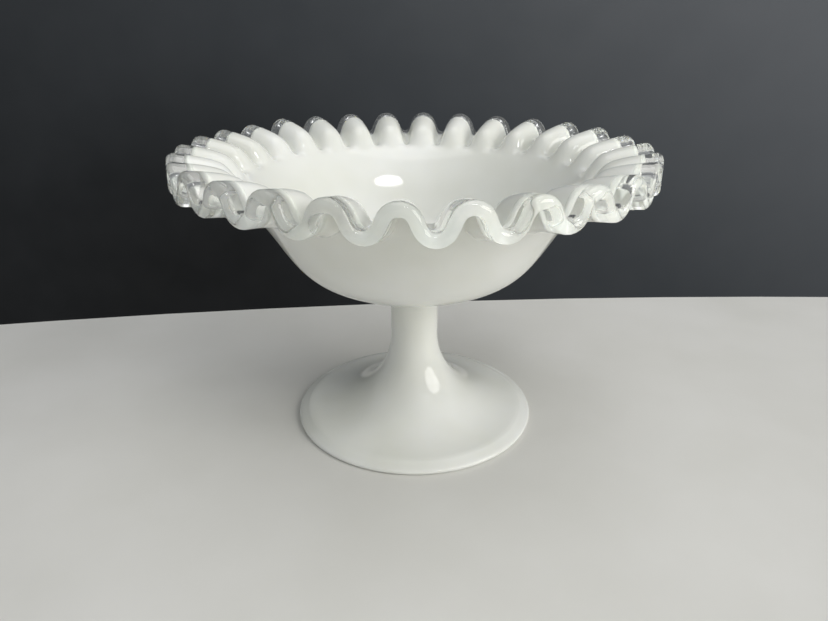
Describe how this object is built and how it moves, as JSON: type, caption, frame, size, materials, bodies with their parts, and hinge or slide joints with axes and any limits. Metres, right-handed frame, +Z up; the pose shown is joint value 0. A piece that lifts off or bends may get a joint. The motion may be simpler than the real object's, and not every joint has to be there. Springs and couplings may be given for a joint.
{
  "type": "footed comport",
  "caption": "Low footed comport: round opal glass bowl with a crimped, flared brim and a clear glass edge, on a straight stem and a round foot.",
  "frame": {"origin": "middle of the face that rests on the table, under the stem", "axes": "+Z up along the stem; the bowl is turned about it and its crimps run evenly around it, so +X and +Y are not special"},
  "size_m": [0.1524, 0.1524, 0.0987],
  "materials": {
    "opal_glass": "glossy, opaque milk white, fire-polished",
    "clear_glass": "glossy, clear and colourless, fire-polished"
  },
  "bodies": {
    "root": {"pedestal": "opal_glass", "bowl": "opal_glass", "crimped_brim": "opal_glass", "clear_edge": "clear_glass"}
  },
  "joints": []
}
